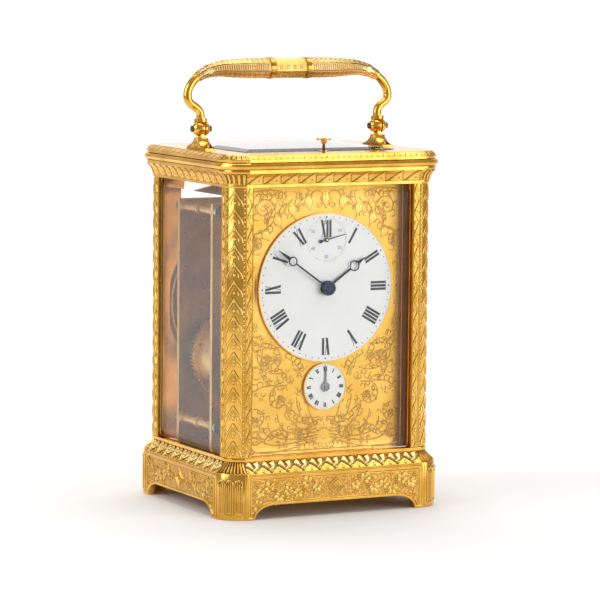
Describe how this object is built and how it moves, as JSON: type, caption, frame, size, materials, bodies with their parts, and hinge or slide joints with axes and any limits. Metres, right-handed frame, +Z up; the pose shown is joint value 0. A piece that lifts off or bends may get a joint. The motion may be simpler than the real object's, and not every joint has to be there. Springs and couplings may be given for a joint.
{
  "type": "carriage clock",
  "caption": "Glazed brass carriage clock with engraved plinth and mask, enamel dial, alarm dial, folding handle, repeat button, rear door and striking platform movement.",
  "frame": {"origin": "centre of the base, on the surface the clock stands on", "axes": "+X to the viewer's right of the dial, -Y out of the dial (front), +Z up"},
  "size_m": [0.1004, 0.0888, 0.1839],
  "materials": {
    "case_brass": "polished and engraved gilt brass",
    "engraved_brass": "engraved, softly polished gilt brass",
    "movement_brass": "grained brass",
    "steel": "polished steel",
    "blued_steel": "blued and polished steel",
    "enamel": "white vitreous enamel",
    "glass": "clear bevelled glass"
  },
  "bodies": {
    "case": {"base_plinth": "case_brass", "base_moulding": "case_brass", "floor_plate": "case_brass", "pillar_front_left": "case_brass", "pillar_front_right": "case_brass", "pillar_rear_left": "case_brass", "pillar_rear_right": "case_brass", "cornice": "case_brass", "top_frame": "case_brass", "top_glass": "glass", "front_glass": "glass", "side_glasses": "glass", "screws": "steel", "handle_pedestals": "case_brass", "button_bush": "case_brass", "dial_mask": "engraved_brass", "main_dial": "enamel", "alarm_dial": "enamel", "front_plate": "movement_brass", "back_plate": "movement_brass", "movement_pillars": "movement_brass", "pillar_nuts": "steel", "ratchet_clicks": "steel", "platform": "movement_brass", "escape_cock": "movement_brass", "balance_cock": "movement_brass", "gong": "blued_steel", "gong_block": "movement_brass"},
    "rear_door": {"rear_door_frame": "case_brass", "rear_door_glass": "glass", "door_hinge_pins": "case_brass", "door_knob": "case_brass"},
    "handle": {"handle_arms": "case_brass", "handle_grips": "case_brass", "grip_rings": "case_brass", "handle_screws": "steel"},
    "repeat_button": {"repeat_button": "case_brass"},
    "minute_hand": {"minute_hand": "blued_steel", "cannon_pinion": "steel"},
    "hour_hand": {"hour_hand": "blued_steel", "hour_wheel": "movement_brass"},
    "minute_wheel": {"minute_wheel": "movement_brass"},
    "seconds_hand": {"fourth_wheel": "movement_brass", "seconds_hand": "blued_steel"},
    "alarm_hand": {"alarm_hand": "blued_steel"},
    "centre_wheel": {"centre_wheel": "movement_brass"},
    "second_wheel": {"second_wheel": "movement_brass"},
    "third_wheel": {"third_wheel": "movement_brass"},
    "escape_wheel": {"escape_wheel": "steel"},
    "pallet_lever": {"pallet_lever": "steel"},
    "balance": {"balance": "movement_brass"},
    "going_barrel": {"going_barrel": "movement_brass"},
    "going_barrel_arbor": {"going_barrel_arbor": "steel"},
    "strike_barrel": {"strike_barrel": "movement_brass"},
    "strike_barrel_arbor": {"strike_barrel_arbor": "steel"},
    "strike_second_wheel": {"strike_second_wheel": "movement_brass"},
    "pin_wheel": {"pin_wheel": "movement_brass"},
    "warning_wheel": {"warning_wheel": "movement_brass"},
    "fly": {"fly": "movement_brass"},
    "hammer": {"hammer": "steel"}
  },
  "joints": [
    {"name": "rear_door_hinge", "type": "hinge", "parent": "case", "child": "rear_door", "pos_m": [0.0345, 0.0381, 0.08], "axis": [0, 0, -1], "range_deg": [0, 95]},
    {"name": "handle_pivot", "type": "hinge", "parent": "case", "child": "handle", "pos_m": [0, 0, 0.1551], "axis": [1, 0, 0], "range_deg": [-81, 87]},
    {"name": "repeat_button_slide", "type": "slide", "parent": "case", "child": "repeat_button", "axis": [0, 0, -1], "range_m": [0, 0.0024], "stiffness_N_per_m": 150, "springref_m": -0.0004},
    {"name": "minute_hand_turn", "type": "hinge", "parent": "case", "child": "minute_hand", "pos_m": [0, 0, 0.0915], "axis": [0, 1, 0], "continuous": true},
    {"name": "minute_wheel_turn", "type": "hinge", "parent": "case", "child": "minute_wheel", "pos_m": [-0.0059, 0, 0.08737], "axis": [0, 1, 0], "continuous": true},
    {"name": "hour_hand_turn", "type": "hinge", "parent": "case", "child": "hour_hand", "pos_m": [0, 0, 0.0915], "axis": [0, 1, 0], "continuous": true},
    {"name": "seconds_hand_turn", "type": "hinge", "parent": "case", "child": "seconds_hand", "pos_m": [0, 0, 0.1111], "axis": [0, 1, 0], "continuous": true},
    {"name": "third_wheel_turn", "type": "hinge", "parent": "case", "child": "third_wheel", "pos_m": [-0.01022, 0, 0.10348], "axis": [0, 1, 0], "continuous": true},
    {"name": "centre_wheel_turn", "type": "hinge", "parent": "case", "child": "centre_wheel", "pos_m": [0, 0, 0.0915], "axis": [0, 1, 0], "continuous": true},
    {"name": "second_wheel_turn", "type": "hinge", "parent": "case", "child": "second_wheel", "pos_m": [-0.01137, 0, 0.0786], "axis": [0, 1, 0], "continuous": true},
    {"name": "going_barrel_turn", "type": "hinge", "parent": "case", "child": "going_barrel", "pos_m": [-0.02, 0, 0.06], "axis": [0, 1, 0], "continuous": true},
    {"name": "escape_wheel_turn", "type": "hinge", "parent": "case", "child": "escape_wheel", "pos_m": [0, 0.0037, 0.125], "axis": [0, 0, 1], "continuous": true},
    {"name": "pallet_lever_swing", "type": "hinge", "parent": "case", "child": "pallet_lever", "pos_m": [0, 0.0096, 0.129], "axis": [0, 0, 1], "range_deg": [-4, 4]},
    {"name": "balance_swing", "type": "hinge", "parent": "case", "child": "balance", "pos_m": [0, 0.0155, 0.133], "axis": [0, 0, 1], "range_deg": [-135, 135], "stiffness_Nm_per_rad": 0.000003},
    {"name": "going_winding", "type": "hinge", "parent": "case", "child": "going_barrel_arbor", "pos_m": [-0.02, 0, 0.06], "axis": [0, 1, 0], "continuous": true},
    {"name": "strike_winding", "type": "hinge", "parent": "case", "child": "strike_barrel_arbor", "pos_m": [0.02, 0, 0.06], "axis": [0, 1, 0], "continuous": true},
    {"name": "warning_wheel_turn", "type": "hinge", "parent": "case", "child": "warning_wheel", "pos_m": [0.02494, 0, 0.10531], "axis": [0, 1, 0], "continuous": true},
    {"name": "fly_turn", "type": "hinge", "parent": "case", "child": "fly", "pos_m": [0.02202, 0, 0.11334], "axis": [0, 1, 0], "continuous": true},
    {"name": "pin_wheel_turn", "type": "hinge", "parent": "case", "child": "pin_wheel", "pos_m": [0.02287, 0, 0.09359], "axis": [0, 1, 0], "continuous": true},
    {"name": "strike_second_wheel_turn", "type": "hinge", "parent": "case", "child": "strike_second_wheel", "pos_m": [0.02531, 0, 0.0798], "axis": [0, 1, 0], "continuous": true},
    {"name": "strike_barrel_turn", "type": "hinge", "parent": "case", "child": "strike_barrel", "pos_m": [0.02, 0, 0.06], "axis": [0, 1, 0], "continuous": true},
    {"name": "hammer_lift", "type": "hinge", "parent": "case", "child": "hammer", "pos_m": [0.01046, 0, 0.10369], "axis": [0, 1, 0], "range_deg": [0, 18], "stiffness_Nm_per_rad": 0.001, "springref_deg": -17.19},
    {"name": "alarm_set", "type": "hinge", "parent": "case", "child": "alarm_hand", "pos_m": [0, 0, 0.0509], "axis": [0, 1, 0], "continuous": true}
  ],
  "couplings": [
    {"joint": "minute_wheel_turn", "follows": "minute_hand_turn", "ratio": -0.33333},
    {"joint": "hour_hand_turn", "follows": "minute_hand_turn", "ratio": 0.083333},
    {"joint": "third_wheel_turn", "follows": "seconds_hand_turn", "ratio": -0.13333},
    {"joint": "centre_wheel_turn", "follows": "seconds_hand_turn", "ratio": 0.016667},
    {"joint": "second_wheel_turn", "follows": "seconds_hand_turn", "ratio": -0.0032407},
    {"joint": "going_barrel_turn", "follows": "seconds_hand_turn", "ratio": 0.00055556},
    {"joint": "escape_wheel_turn", "follows": "seconds_hand_turn", "ratio": 10},
    {"joint": "fly_turn", "follows": "warning_wheel_turn", "ratio": -7.1429},
    {"joint": "pin_wheel_turn", "follows": "warning_wheel_turn", "ratio": -0.13333},
    {"joint": "strike_second_wheel_turn", "follows": "warning_wheel_turn", "ratio": 0.022222},
    {"joint": "strike_barrel_turn", "follows": "warning_wheel_turn", "ratio": -0.0038095}
  ]
}
